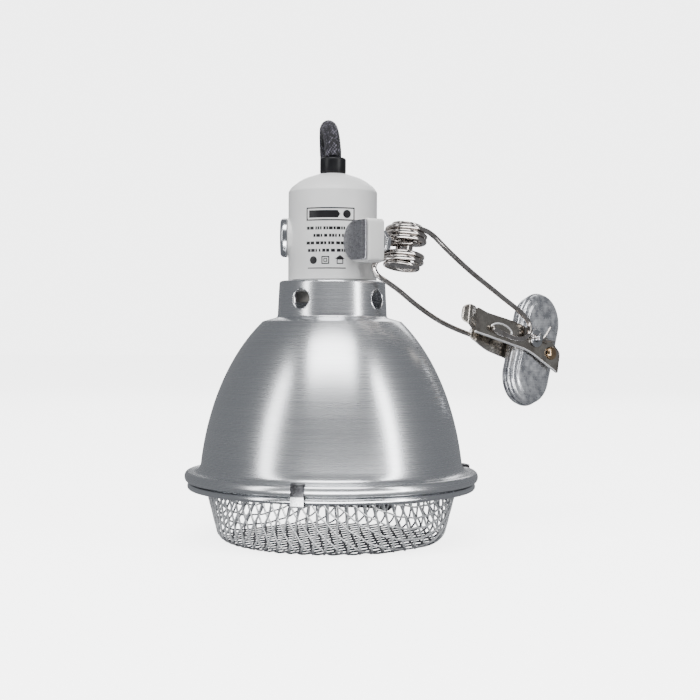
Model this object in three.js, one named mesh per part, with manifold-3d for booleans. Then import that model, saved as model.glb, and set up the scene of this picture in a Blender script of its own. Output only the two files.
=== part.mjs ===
// Clamp-on heat lamp fixture: spun reflector, lampholder housing, mesh guard, wire spring clamp and braided lead.
// Units are millimetres and +Z is up. The origin is on the reflector's axis, at the bottom of the guard.
// +X points to the clamp's side and -Y to the fixture's front.
import * as THREE from 'three';
import { mergeVertices } from 'three/addons/utils/BufferGeometryUtils.js';
import Module from 'manifold-3d';

const wasm = await Module();
wasm.setup();

// Driving dimensions
const GAP = 0.3;                  // clearance between pieces that touch
const SHEET = 0.8;                // thickness of the spun aluminium

const BOWL_R = 66;                // the bowl is an ellipse of revolution: its radius,
const BOWL_HEIGHT = 104;          // its half height
const BOWL_CENTRE_Z = 20;         // and the height of its centre
const BOWL_BOTTOM_Z = 38;
const BOWL_TOP_Z = 109;
const COLLAR_TOP_Z = 128.7;
const COLLAR_TOP_R = 26.4;
const COLLAR_BOTTOM_R = 27.3;
const COLLAR_BOTTOM_Z = 110.8;
const NECK_HOLE_R = 19;           // the hole in the collar's top that the lampholder's neck passes
const VENT_Z = 119.4;
const VENT_R = 5;
const VENT_AZIMUTHS = [-34.5, 55.5, 145.5, 235.5];
const LEDGE_Z = 34.2;
const BEAD = { r: 71, z: 32, across: 2, up: 2.65 };

const HOUSING_R = 22.1;
const HOUSING_WALL = 1.2;
const HOUSING_BOTTOM_Z = COLLAR_TOP_Z + GAP;
const SHOULDER_Z = 173.7;
const HOUSING_TOP_Z = 182;
const HOUSING_SCREW_Z = 132.3;
const GLAND_R = 6.5;
const GLAND_TOP_Z = 190.2;

const GUARD_RING = { outer: 71.6, inner: 61.6, top: 28.9, bottom: 25.8 };
const GUARD_TOP_R = 62.8;
const GUARD_FLOOR_R = 50.4;
const GUARD_CORNER = 7;
const GUARD_SHEET = 1;
const TAB_AZIMUTHS = [-12, 108, 228];
const TAB_WIDTH = 6.2;

const BLOCK_AZIMUTH = 36;         // where the swivel block stands, from the front towards +X
const BLOCK = { centre: 32.9, z: 146.9, r: 10.3, outer: 41.4, back: -0.5, front: 9.2 };
const SIDE_CAP = { r: 9.75, z: 150.3, thick: 3.4 };
const STUD = { out: 36, z: 146.3, r: 1.6, reach: 17.2 };

const WIRE_R = 1.25;              // spring wire
const COIL_R = 9.25;              // coil radius to the middle of the wire
const SPOOL_R = 4.2;
const CLAMP_CENTRE = new THREE.Vector3(35.1, -18.95, 147.2);
const CLAMP_LEAN = 8.5;           // how far the coil's axis leans to +X, in degrees,
const CLAMP_TILT = 10.5;          // and to +Y
const CLAMP_TURN = 42;            // the legs' direction, in degrees from +X towards +Y
const JAW = { pin: { x: 97, y: -25.4, r: 1.6 }, rivet: { x: 110, y: -30.4 }, sheet: 1, face: 5.6 };
const PAD = { x: 102, y: -29.6, turn: -6, straight: 14.5, r: 15.8, depth: 4.6, sheet: 0.9 };

const CORD_R = 4.2;
const COIL_CENTRE = { x: 11, y: 172.4 };
const WOUND = { inner: 33.4, outer: 58.6, top: 16.9 };

const object = new THREE.Group();

// Materials
const finish = (color, roughness, metalness) => new THREE.MeshStandardMaterial({ color, roughness, metalness });
const SPUN_ALUMINIUM = finish(0xb4b6ba, 0.34, 1);
const WHITE_ENAMEL = finish(0xe6e6e4, 0.45, 0);
const WHITE_PLASTIC = finish(0xdcdcd8, 0.5, 0);
const BLACK_PLASTIC = finish(0x151516, 0.5, 0);
const CERAMIC = finish(0xefece4, 0.3, 0);
const BRASS = finish(0xc8a862, 0.35, 1);
const PLATED_STEEL = finish(0xa8abb0, 0.3, 1);
const SPRING_STEEL = finish(0x8f9094, 0.22, 1);
const BRIGHT_MESH = finish(0xd4d6d8, 0.35, 1);
const BRAID = finish(0x34343a, 0.85, 0);

// Geometry helpers
const radians = (degrees) => degrees * Math.PI / 180;
const v2 = (x, y) => new THREE.Vector2(x, y);
const v3 = (x, y, z) => new THREE.Vector3(x, y, z);

function solid(geometry) {
  const bare = geometry.clone();
  bare.deleteAttribute('normal');
  bare.deleteAttribute('uv');
  const merged = mergeVertices(bare, 1e-4);
  const mesh = new wasm.Mesh({
    numProp: 3,
    vertProperties: new Float32Array(merged.attributes.position.array),
    triVerts: new Uint32Array(merged.index.array),
  });
  return new wasm.Manifold(mesh);
}

function geometryOf(manifold) {
  const mesh = manifold.getMesh();
  const geometry = new THREE.BufferGeometry();
  geometry.setAttribute('position', new THREE.BufferAttribute(new Float32Array(mesh.vertProperties), 3));
  geometry.setIndex(new THREE.BufferAttribute(new Uint32Array(mesh.triVerts), 1));
  geometry.computeVertexNormals();
  return geometry;
}

const cut = (base, ...tools) => geometryOf(tools.reduce((left, tool) => left.subtract(solid(tool)), solid(base)));
const join = (base, ...more) => geometryOf(more.reduce((sum, tool) => sum.add(solid(tool)), solid(base)));
const common = (a, b) => geometryOf(solid(a).intersect(solid(b)));

function volume(geometry) {
  const p = geometry.attributes.position;
  const index = geometry.index ? geometry.index.array : [...Array(p.count).keys()];
  const [a, b, c] = [v3(0, 0, 0), v3(0, 0, 0), v3(0, 0, 0)];
  let sum = 0;
  for (let i = 0; i < index.length; i += 3) {
    a.fromBufferAttribute(p, index[i]);
    b.fromBufferAttribute(p, index[i + 1]);
    c.fromBufferAttribute(p, index[i + 2]);
    sum += a.dot(b.cross(c));
  }
  return sum;
}

// One closed solid with its faces pointing out, whichever way round its outline was drawn
function outward(geometry) {
  const bare = geometry.clone();
  bare.deleteAttribute('normal');
  bare.deleteAttribute('uv');
  const merged = mergeVertices(bare, 1e-4);
  if (volume(merged) < 0) {
    const index = merged.index.array;
    for (let i = 0; i < index.length; i += 3) [index[i], index[i + 1]] = [index[i + 1], index[i]];
  }
  return merged;
}

// A turned piece about +Z from (radius, height) points, which start and end on the axis or close on themselves
function turned(points, segments = 32) {
  return outward(new THREE.LatheGeometry(points.map(([r, z]) => v2(r, z)), segments).rotateX(Math.PI / 2));
}

const ring = (points, segments) => turned([...points, points[0]], segments);

function disc(r, bottom, top, segments = 24) {
  return turned([[0, bottom], [r, bottom], [r, top], [0, top]], segments);
}

// A flat outline drawn in XY and given a height along +Z
function plate(points, height, holes = []) {
  const shape = new THREE.Shape(points.map(([x, y]) => v2(x, y)));
  shape.holes = holes.map((hole) => new THREE.Path(hole.map(([x, y]) => v2(x, y))));
  return outward(new THREE.ExtrudeGeometry(shape, { depth: height, bevelEnabled: false }));
}

// An outline drawn in (x, z) and drawn out along Y from low to high
function strip(points, low, high) {
  return plate(points, high - low).rotateX(Math.PI / 2).translate(0, high, 0);
}

function box(x0, x1, y0, y1, z0, z1) {
  const geometry = new THREE.BoxGeometry(x1 - x0, y1 - y0, z1 - z0);
  return outward(geometry.translate((x0 + x1) / 2, (y0 + y1) / 2, (z0 + z1) / 2));
}

function arc(cx, cy, r, from, to, steps) {
  const points = [];
  for (let i = 0; i <= steps; i += 1) {
    const angle = radians(from + (to - from) * i / steps);
    points.push([cx + r * Math.cos(angle), cy + r * Math.sin(angle)]);
  }
  return points;
}

const hexagon = (acrossFlats) => arc(0, 0, acrossFlats / Math.sqrt(3), 0, 300, 5);

// A round wire or cord along a smooth curve through its points
function along(curve, r, steps, sides = 8) {
  const section = new THREE.Shape(arc(0, 0, r, 0, 360 - 360 / sides, sides - 1).map(([x, y]) => v2(x, y)));
  return outward(new THREE.ExtrudeGeometry(section, { steps, extrudePath: curve }));
}

function wire(points, r, steps, sides) {
  return along(new THREE.CatmullRomCurve3(points.map(([x, y, z]) => v3(x, y, z)), false, 'centripetal'), r, steps, sides);
}

// Frame whose local +Z points along a radius of the fixture at an azimuth counted from the front towards +X
function facing(geometry, azimuth, r, z) {
  const angle = radians(azimuth);
  const out = v3(Math.sin(angle), -Math.cos(angle), 0);
  const side = v3(Math.cos(angle), Math.sin(angle), 0);
  const basis = new THREE.Matrix4().makeBasis(side, v3(0, 0, 1), out);
  basis.setPosition(out.x * r, out.y * r, z);
  return geometry.applyMatrix4(basis);
}

function add(name, geometry, material, parent = object) {
  const mesh = new THREE.Mesh(geometry, material);
  mesh.name = name;
  parent.add(mesh);
  return mesh;
}

// Reflector: collar, bowl, ledge and rolled bead, spun from one sheet
function bowl(offset, fromZ, toZ, count) {
  const points = [];
  for (let i = 0; i <= count; i += 1) {
    const z = fromZ + (toZ - fromZ) * Math.sin(i / count * Math.PI / 2);
    const share = (z - BOWL_CENTRE_Z) / (BOWL_HEIGHT - offset);
    points.push([(BOWL_R - offset) * Math.sqrt(1 - share ** 2), z]);
  }
  return points;
}

function makeReflector() {
  const bead = arc(0, 0, 1, 124, -212, 10).map(([x, y]) => [BEAD.r + BEAD.across * x, BEAD.z + BEAD.up * y]);
  const outside = bowl(0, BOWL_BOTTOM_Z, BOWL_TOP_Z, 8).reverse();
  const inside = bowl(SHEET, BOWL_BOTTOM_Z, BOWL_TOP_Z - SHEET, 8);
  const sheet = ring([
    [NECK_HOLE_R, COLLAR_TOP_Z],
    [COLLAR_TOP_R - 1.3, COLLAR_TOP_Z],
    [COLLAR_TOP_R - 0.4, COLLAR_TOP_Z - 0.4],
    [COLLAR_TOP_R, COLLAR_TOP_Z - 1.3],
    [COLLAR_BOTTOM_R, COLLAR_BOTTOM_Z],
    ...outside,
    [65.9, LEDGE_Z + 1.5],
    [67.4, LEDGE_Z + 0.2],
    ...bead,
    [66.8, LEDGE_Z - 0.6],
    [64.9, LEDGE_Z + 1.2],
    ...inside,
    [COLLAR_BOTTOM_R - SHEET, COLLAR_BOTTOM_Z - SHEET],
    [COLLAR_TOP_R - SHEET, COLLAR_TOP_Z - 1.5],
    [COLLAR_TOP_R - 1.4, COLLAR_TOP_Z - SHEET],
    [NECK_HOLE_R, COLLAR_TOP_Z - SHEET],
  ], 40);
  const vents = VENT_AZIMUTHS.map((azimuth) => facing(disc(VENT_R, 0, 12, 16), azimuth, 20, VENT_Z));
  add('reflector', cut(sheet, ...vents), SPUN_ALUMINIUM);
}

// Lampholder housing, with a flat seat on its left for the side cap
function makeHousing() {
  const inner = HOUSING_R - HOUSING_WALL;
  const shell = ring([
    [5.5, HOUSING_TOP_Z],
    [7, HOUSING_TOP_Z],
    [15.2, 179.3],
    [20.4, 175.2],
    [HOUSING_R, SHOULDER_Z],
    [HOUSING_R, HOUSING_BOTTOM_Z],
    [inner, HOUSING_BOTTOM_Z],
    [inner, SHOULDER_Z - 0.5],
    [19.6, 174.2],
    [14.8, 177.9],
    [6.8, HOUSING_TOP_Z - 1.3],
    [5.5, HOUSING_TOP_Z - 1.3],
  ], 40);
  const seat = facing(disc(SIDE_CAP.r + 0.2, 0, HOUSING_R + 0.2 - 18, 24), -90, 18, SIDE_CAP.z);
  const core = disc(inner, HOUSING_BOTTOM_Z, SHOULDER_Z, 40);
  const screwHoles = [150, 210].map((azimuth) => facing(disc(1.9, 0, 8, 12), azimuth, 18, HOUSING_SCREW_Z));
  const seatHole = facing(disc(1.9, 0, 12, 12), -90, 14, SIDE_CAP.z);
  add('lampholder_housing', cut(join(shell, cut(seat, core)), seatHole, ...screwHoles), WHITE_ENAMEL);
}

// Cable gland through the housing's top, and its lock nut inside
function makeGland() {
  add('cord_gland', ring([
    [3.4, GLAND_TOP_Z],
    [GLAND_R - 1, GLAND_TOP_Z],
    [GLAND_R - 0.3, GLAND_TOP_Z - 0.3],
    [GLAND_R, GLAND_TOP_Z - 1],
    [GLAND_R, HOUSING_TOP_Z + GAP],
    [5.1, HOUSING_TOP_Z + GAP],
    [5.1, HOUSING_TOP_Z - 6.2],
    [3.4, HOUSING_TOP_Z - 6.2],
  ], 28), BLACK_PLASTIC);
  const nut = plate(hexagon(14), 3).translate(0, 0, HOUSING_TOP_Z - 5);
  add('gland_lock_nut', cut(nut, disc(5.4, HOUSING_TOP_Z - 6, HOUSING_TOP_Z, 20)), BLACK_PLASTIC);
}

// Ceramic lampholder, threaded shell, contact, terminals and the ring that holds the reflector on its neck
function makeLampholder() {
  const recess = [[0, 148.6], [4.9, 148.6], [4.9, 147], [14.8, 147], [14.8, 118]];
  add('ceramic_lampholder', turned([
    ...recess,
    [18.4, 118],
    [18.4, COLLAR_TOP_Z + GAP],
    [20.5, COLLAR_TOP_Z + GAP],
    [20.5, 134.6],
    [18.4, 135.2],
    [18.4, 150],
    [12, 156],
    [0, 156],
  ], 32), CERAMIC);

  const waves = 4;
  const wave = (r) => Array.from({ length: 2 * waves + 1 }, (_, i) => [r + (i % 2 ? 0.35 : -0.35), 119.6 + i * 3]);
  add('screw_shell', ring([
    ...wave(13.6),
    [13.2, 145.9],
    [5.2, 145.9],
    [5.2, 146.7],
    [14.2, 146.7],
    ...wave(14.1).reverse(),
  ], 24), BRASS);
  add('centre_contact', turned([[0, 143.2], [3.2, 143.2], [4.2, 144.2], [4.2, 146.8], [0, 146.8]], 20), BRASS);

  [-7, 7].forEach((x, i) => {
    const head = turned([[0, 158.6], [2.6, 158.6], [3.1, 158], [3.1, 156.3], [0, 156.3]], 16);
    const slot = box(-4, 4, -0.4, 0.4, 157.6, 160);
    add(`terminal_screw_${i + 1}`, cut(head, slot).translate(x, 0, 0), BRASS);
  });

  const notch = (azimuth) => facing(box(-2, 2, -3, 3, -1.4, 2), azimuth, 24.8, 126);
  const collarRing = ring([[18.8, 127.5], [24.6, 127.5], [24.6, 124.2], [22.4, 123], [18.8, 123]], 32);
  add('shade_ring', cut(collarRing, ...[0, 60, 120, 180, 240, 300].map(notch)), WHITE_PLASTIC);

  [150, 210].forEach((azimuth, i) => {
    const screw = turned([[0, 20.8], [1.5, 20.8], [1.5, 22.4], [2.8, 22.4], [2.8, 23.2], [2, 23.8], [0, 23.8]], 14);
    add(`housing_screw_${i + 1}`, facing(screw, azimuth, 0, HOUSING_SCREW_Z), PLATED_STEEL);
  });
}

// Pressed steel cap on the housing's left, with its screw
function makeSideCap() {
  const base = HOUSING_R + 0.2 + GAP;
  const top = base + SIDE_CAP.thick;
  const cap = ring([
    [2.1, base],
    [SIDE_CAP.r, base],
    [SIDE_CAP.r, top - 1.2],
    [SIDE_CAP.r - 0.4, top - 0.4],
    [SIDE_CAP.r - 1.2, top],
    [4.6, top],
    [4, top - 1.6],
    [2.1, top - 1.6],
  ], 32);
  add('side_cap', facing(cap, -90, 0, SIDE_CAP.z), PLATED_STEEL);
  const screw = turned([
    [0, 19], [1.5, 19], [1.5, top - 1.3], [3.4, top - 1.3], [3.4, top - 0.6], [2.4, top + 0.2], [0, top + 0.2],
  ], 16);
  add('side_cap_screw', facing(screw, -90, 0, SIDE_CAP.z), PLATED_STEEL);
}

// Places a piece drawn across (outwards, up) and extruded forwards into the swivel block's frame
function atBlock(geometry) {
  const angle = radians(BLOCK_AZIMUTH);
  const out = v3(Math.sin(angle), -Math.cos(angle), 0);
  const forward = v3(-Math.cos(angle), -Math.sin(angle), 0);
  return geometry.applyMatrix4(new THREE.Matrix4().makeBasis(out, v3(0, 0, 1), forward));
}

// D-shaped swivel block on a short neck, and the steel plate on its front end
function makeBlock() {
  const { centre, z, r, outer, back, front } = BLOCK;
  const corner = 1.2;
  const body = plate([
    ...arc(centre, z, r, 90, 270, 12),
    ...arc(outer - corner, z - r + corner, corner, -90, 0, 3),
    ...arc(outer - corner, z + r - corner, corner, 0, 90, 3),
  ], front - back).translate(0, 0, back);
  const neck = box(19, centre - 6, z - 6.5, z + 6.5, 1, 7.5);
  const studHole = disc(STUD.r + 0.4, back - 1, front - 2, 16).translate(STUD.out, STUD.z, 0);
  const housing = disc(HOUSING_R + GAP, 120, 180, 40);
  const placed = atBlock(cut(join(body, neck), studHole));
  add('swivel_block', cut(placed, housing), WHITE_PLASTIC);

  const sheet = 1;
  const crease = 37.1;
  const seat = front + GAP;
  const bent = strip([
    [centre - r, seat],
    [crease, seat],
    [outer, seat + 0.4],
    [outer, seat + 1.6],
    [crease, seat + sheet],
    [centre - r, seat + sheet],
  ], z - 12, z + 12);
  const outline = plate([
    ...arc(centre, z, r - 0.5, 98, 250, 12),
    [outer - 0.2, z - 9],
    [outer - 0.2, z + 9.7],
  ], 8).translate(0, 0, seat - 2);
  add('block_plate', atBlock(common(bent, outline)), PLATED_STEEL);
}

// Eye stud, washer and nut that carry the clamp
function makeStud() {
  const { out, z, r, reach } = STUD;
  const centre = -reach;
  const lying = (geometry) => geometry.rotateX(-Math.PI / 2).translate(out, z, centre);
  const eye = lying(ring([[4.9, -1], [6.4, -1], [6.4, 1], [4.9, 1]], 24));
  const shank = disc(r, centre + 5.4, 6.5, 14).translate(out, z, 0);
  add('eye_stud', atBlock(cut(join(eye, shank), lying(disc(4.9, -3, 3, 24)))), SPRING_STEEL);
  const end = BLOCK.back - GAP;
  const washer = cut(disc(6, end - 0.8, end, 24), disc(r + 0.3, end - 2, end + 1, 14)).translate(out, z, 0);
  add('stud_washer', atBlock(washer), PLATED_STEEL);
  const nutTop = end - 0.8 - GAP;
  const nut = plate(hexagon(10), 3).rotateZ(radians(20)).translate(0, 0, nutTop - 3);
  add('stud_nut', atBlock(cut(nut, disc(r + 0.3, nutTop - 5, nutTop + 1, 14)).translate(out, z, 0)), PLATED_STEEL);
}

// Clamp frame: local +X runs along the legs, +Y up the coil's axis and +Z out of the front pad
const coilAxis = v3(Math.tan(radians(CLAMP_LEAN)), Math.tan(radians(CLAMP_TILT)), 1).normalize();
const acrossAxis = v3(1, 0, 0).addScaledVector(coilAxis, -coilAxis.x).normalize();
const awayAxis = new THREE.Vector3().crossVectors(coilAxis, acrossAxis);
const legAxis = acrossAxis.clone().multiplyScalar(Math.cos(radians(CLAMP_TURN)))
  .addScaledVector(awayAxis, Math.sin(radians(CLAMP_TURN)));
const closeAxis = new THREE.Vector3().crossVectors(legAxis, coilAxis);
const clamp = new THREE.Group();
clamp.position.copy(CLAMP_CENTRE);
clamp.quaternion.setFromRotationMatrix(new THREE.Matrix4().makeBasis(legAxis, coilAxis, closeAxis));
object.add(clamp);

class Helix extends THREE.Curve {
  constructor(r, bottom, pitch, turns, start) {
    super();
    Object.assign(this, { r, bottom, pitch, turns, start });
  }

  getPoint(t, target = new THREE.Vector3()) {
    const angle = this.start + 2 * Math.PI * this.turns * t;
    return target.set(this.r * Math.sin(angle), this.bottom + this.pitch * this.turns * t, this.r * Math.cos(angle));
  }
}

// Spool and the spring's two groups of turns, with the stud's eye between them
function makeSpring() {
  const spool = turned([
    [0, -13], [9, -13], [9, -11.7], [SPOOL_R, -11.7], [SPOOL_R, 7.4], [7.6, 7.4], [7.6, 8.4], [0, 8.4],
  ], 28);
  add('spring_spool', spool.rotateX(-Math.PI / 2), SPRING_STEEL, clamp);
  const pitch = 2 * WIRE_R + 0.05;
  const upper = new Helix(COIL_R, 5.8 - 2.25 * pitch, pitch, 2.25, -Math.PI / 2);
  const lower = new Helix(COIL_R, -6.3 - 1.6 * pitch, pitch, 1.6, Math.PI * 1.35);
  add('spring_coil_upper', along(upper, WIRE_R, 34), SPRING_STEEL, clamp);
  add('spring_coil_lower', along(lower, WIRE_R, 26), SPRING_STEEL, clamp);
}

// A stadium-shaped dish: a turned dish whose halves are drawn apart
function ovalDish(points, straight) {
  const segments = 32;
  const step = Math.PI / segments;
  const round = new THREE.LatheGeometry([...points, points[0]].map(([r, z]) => v2(r, z)), segments, step);
  round.rotateX(Math.PI / 2);
  const p = round.attributes.position;
  for (let i = 0; i < p.count; i += 1) p.setY(i, p.getY(i) + Math.sign(p.getY(i)) * straight);
  return outward(round);
}

// Each leg's points end where its tail, threaded back through the lever, begins
const JAWS = [
  {
    name: 'front',
    side: 1,
    leg: [
      [0.4, 5.8, 9.25], [5, 5.8, 9.35], [10, 4.8, 9.3], [20, 1.1, 9.2], [37.6, -4.6, 9.1], [62, -10.9, 9], [83, -16.6, 8.9],
      [88, -20, 8.9], [88.6, -24.6, 8.9], [84.6, -28.4, 8.9], [75.3, -29.8, 8.7],
    ],
    drop: 0,
    lever: {
      bend: [
        [36.6, 9.2], [39.4, 11], [48, 7], [49.6, 5.6], [97, 5.6], [118, 6.6],
        [118, 7.6], [97, 6.6], [50.2, 6.6], [48.6, 8], [39.6, 12.4], [36, 10.2],
      ],
      outline: [
        [35, -30.8], [46, -32.4], [49.6, -33], [93, -33], [117.6, -40], [117.6, -28.4], [108, -23], [91, -21.4],
        [78, -20.4], [57.6, -21], [50.6, -20], [48, -21.8], [46, -20.8], [36, -22],
      ],
    },
  },
  {
    name: 'rear',
    side: -1,
    leg: [
      [-7.8, -10.5, -6.6], [-9.4, -11.6, -7.8], [-9.9, -14.6, -8.6], [-6.4, -17.6, -9.2], [0, -19, -9.4],
      [8.1, -20.9, -9.3], [23, -25.4, -9.2], [38.5, -28.9, -9.1], [50.5, -30.2, -9], [62, -30.6, -8.9], [74, -30.4, -8.8],
    ],
    drop: 1.6,
    lever: {
      bend: [[63, 6.7], [64.4, 5.6], [97, 5.6], [118, 6.6], [118, 7.6], [97, 6.6], [65, 6.6], [63.8, 7.4]],
      outline: [
        [62, -31], [66, -32.6], [74, -35], [93, -36], [117.6, -38], [117.6, -27], [108, -23], [91, -21.4],
        [78, -20.4], [64, -21],
      ],
    },
  },
];

// One jaw: spring leg, lever plate with its thumb tab, oval pad, pin with its washer and split pin, and rivet
function makeJaw({ name, side, leg, drop, lever }) {
  const place = (piece, geometry, material) => {
    const mirrored = geometry.applyMatrix4(new THREE.Matrix4().makeScale(1, 1, side));
    add(`${piece}_${name}`, outward(mirrored), material, clamp);
  };
  add(`leg_${name}`, wire(leg, WIRE_R, 44), SPRING_STEEL, clamp);

  const { pin, rivet, sheet, face } = JAW;
  const atPin = (geometry) => geometry.translate(pin.x, pin.y - drop, 0);
  const atRivet = (geometry) => geometry.translate(rivet.x, rivet.y - drop, 0);
  const hole = () => disc(pin.r + GAP, -1, 12, 14);
  const lifted = plate(lever.outline, 20).translate(0, -drop, 0);
  const bent = strip(lever.bend, -50, -10);
  place('lever', cut(common(bent, lifted), atPin(hole()), atRivet(hole())), PLATED_STEEL);

  const { x, y, turn, straight, r, depth, sheet: skin } = PAD;
  const dish = ovalDish([
    [2, depth], [r - 3.4, depth], [r - 2.2, depth - 0.6], [r - 0.8, 1.2], [r, 1], [r, 0.2],
    [r - 1.4, 0.2], [r - 3, depth - skin - 0.5], [r - 3.8, depth - skin], [2, depth - skin],
  ], straight);
  dish.rotateZ(radians(turn)).translate(x, y - drop / 2, 0);
  const seam = box(x - 4, x + 4, y - straight - 1, y + straight + 1, depth - skin, depth);
  place('pad', cut(join(dish, seam), atPin(hole()), atRivet(hole())), PLATED_STEEL);

  const under = depth - skin - GAP;
  const pinTop = face + sheet + 3.8;
  const pinBody = turned([[0, under - 1.2], [3.2, under - 1.2], [3.2, under], [pin.r, under], [pin.r, pinTop], [0, pinTop]], 16);
  const crossZ = pinTop - 1.6;
  const cross = facing(disc(0.9, -4, 4, 10), 90, 0, crossZ);
  place('pad_pin', atPin(cut(pinBody, cross)), PLATED_STEEL);
  const washer = ring([[pin.r + GAP, 0], [4.6, 0], [4.6, 0.7], [pin.r + GAP, 0.7]], 20);
  place('pin_washer', atPin(washer.translate(0, 0, face + sheet + GAP)), PLATED_STEEL);
  const prong = (bend, tip) => wire([[-2.6, 0, 0], [0, 0, 0], [2.6, 0, 0.1], bend, tip], 0.6, 10, 8).translate(0, 0, crossZ);
  place('split_pin', atPin(join(prong([4.4, 2.6, 0.6], [7.4, 8.2, 1]), prong([5.6, 0.4, 0.5], [12, 0.9, 1]))), PLATED_STEEL);
  const rivetTop = face + sheet + 1;
  const rivetBody = turned([
    [0, under - 1], [2.8, under - 1], [2.8, under], [pin.r, under], [pin.r, rivetTop], [3.6, rivetTop],
    [3.2, rivetTop + 1.1], [1.8, rivetTop + 1.7], [0, rivetTop + 1.8],
  ], 18);
  place('pad_rivet', atRivet(rivetBody), BRASS);
}

// Guard: pressed ring under the bead, three clips over the bead, and the mesh basket
function makeGuard() {
  const { outer, inner, top, bottom } = GUARD_RING;
  add('guard_ring', ring([
    [inner, top], [outer - 0.8, top], [outer, top - 0.8], [outer, bottom + 0.8], [outer - 0.8, bottom],
    [outer - 2, bottom], [outer - 2, top - 1], [inner, top - 1],
  ], 40), SPUN_ALUMINIUM);

  const reach = BEAD.r + BEAD.across + GAP;
  const over = BEAD.z + BEAD.up + GAP;
  const clip = strip([
    [outer - 1.6, bottom - GAP], [reach, bottom - GAP], [reach, over], [BEAD.r - 0.6, over],
    [BEAD.r - 0.6, over + SHEET], [reach + 0.4, over + SHEET], [reach + SHEET, over + 0.4],
    [reach + SHEET, bottom - GAP - SHEET], [outer - 1.6, bottom - GAP - SHEET],
  ], -TAB_WIDTH / 2, TAB_WIDTH / 2);
  TAB_AZIMUTHS.forEach((azimuth, i) => {
    add(`guard_clip_${i + 1}`, clip.clone().rotateZ(radians(azimuth - 90)), SPUN_ALUMINIUM);
  });

  const rimZ = bottom - GAP;
  const corner = (r, x, z) => arc(x, z, r, -90, -12, 4);
  const shell = turned([
    [0, 0],
    ...corner(GUARD_CORNER, GUARD_FLOOR_R, GUARD_CORNER),
    [GUARD_TOP_R, rimZ],
    [GUARD_TOP_R - GUARD_SHEET, rimZ],
    ...corner(GUARD_CORNER - GUARD_SHEET, GUARD_FLOOR_R, GUARD_CORNER).reverse(),
    [0, GUARD_SHEET],
  ], 40);
  const diamond = (half) => box(-half, half, -half, half, -6, 6).rotateZ(Math.PI / 4);
  const wallHoles = Array.from({ length: 20 }, (_, i) => facing(diamond(4.6), 18 * i, 60, 15.5));
  const floorHoles = [];
  for (const [r, count] of [[15, 6], [29, 12], [43, 18]]) {
    for (let i = 0; i < count; i += 1) {
      const angle = 2 * Math.PI * i / count;
      floorHoles.push(diamond(3.8).translate(r * Math.cos(angle), r * Math.sin(angle), 0));
    }
  }
  add('guard_basket', cut(shell, ...wallHoles, ...floorHoles), BRIGHT_MESH);
}

// The lead's route: up out of the gland, over to the back, down the bowl and the bead to the floor
const LEAD = [
  [0, 0, 190.7], [0, 0.2, 193.2], [-0.3, 1.4, 197], [-1, 5, 202.5], [-1.9, 10.5, 206.2], [-2.6, 17, 207.5],
  [-3, 23.5, 206.2], [-3, 29, 202.5], [-2.8, 32.7, 197], [-2.4, 34.3, 190.5], [-1.6, 34.8, 176], [-0.7, 34.8, 158],
  [0.4, 34.8, 142], [2.2, 35.8, 129], [4.8, 39.4, 115.6], [7.8, 45.4, 104.2], [10.8, 51.2, 94], [13.8, 56.2, 83.4],
  [17, 61.2, 71], [20, 65.9, 57], [22.6, 70.1, 45], [25.2, 74.1, 33], [27.6, 78.4, 22.4], [29.6, 84.4, 12.6],
  [31, 91.6, 6.8], [31.2, 99, 4.6], [29.4, 106, 4.3], [24.8, 112.7, 4.3],
];

// The tail runs round on top of the coil to the plug, which lies on the coil
const TAIL = [
  [-18, 213.8, 21.4], [-5.8, 218.6, 21.4], [6.8, 220.2, 21.4], [19.2, 218.9, 21.4], [30.7, 214.6, 21.4],
  [40.8, 207.9, 21.5], [48.6, 199.6, 21.8], [52.6, 192.6, 22.7], [54.6, 186, 23.8], [55, 181.5, 24.2], [55, 178, 24.2],
];

// Lead, its coil and tie on the floor behind the lamp, and the plug at its end
function makeCord() {
  add('cord_lead', wire(LEAD, CORD_R, 30, 8), BRAID);
  const { x, y } = COIL_CENTRE;
  const { inner, outer, top } = WOUND;
  const coil = ring([[inner, 0.1], [outer, 0.1], [outer, top], [inner, top]], 28);
  add('cord_coil', coil.translate(x, y, 0), BRAID);

  const skin = 1;
  const slack = 0.8;
  const tie = strip([
    [inner - slack, 1], [inner - slack, top + GAP], [outer + GAP, top + GAP], [outer + GAP, 1],
    [outer + GAP + skin, 1], [outer + GAP + skin, top + GAP + skin],
    [inner - slack - skin, top + GAP + skin], [inner - slack - skin, 1],
  ], -5, 5);
  add('cord_tie', tie.rotateZ(radians(200)).translate(x, y, 0), BLACK_PLASTIC);

  add('cord_tail', wire(TAIL, CORD_R, 9, 8), BRAID);
  const [endX, endY, endZ] = TAIL[TAIL.length - 1];
  const lying = (geometry) => {
    geometry.rotateZ(Math.PI / 2).rotateX(Math.PI / 2);
    return geometry.translate(endX, endY - GAP, endZ);
  };
  const relief = turned([[0, 0], [4.6, 0], [5.6, 13], [0, 13]], 16);
  const body = plate([[-7, -9], [-4, -13], [4, -13], [7, -9], [7, 9], [4, 13], [-4, 13], [-7, 9]], 26);
  const sides = [-9.5, 9.5];
  const bores = sides.map((side) => turned([[0, 30], [2.7, 30], [2.7, 39], [0, 39]], 14).translate(0, side, 0));
  add('plug_body', lying(cut(join(relief, body.translate(0, 0, 12)), ...bores)), BLACK_PLASTIC);
  sides.forEach((side, i) => {
    const pin = turned([[0, 30.3], [2.4, 30.3], [2.4, 56], [1.6, 57.2], [0, 57.2]], 14);
    add(`plug_pin_${i + 1}`, lying(pin.translate(0, side, 0)), BRASS);
  });
}

makeReflector();
makeHousing();
makeGland();
makeLampholder();
makeSideCap();
makeBlock();
makeStud();
makeSpring();
JAWS.forEach(makeJaw);
makeGuard();
makeCord();

export default object;
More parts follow.
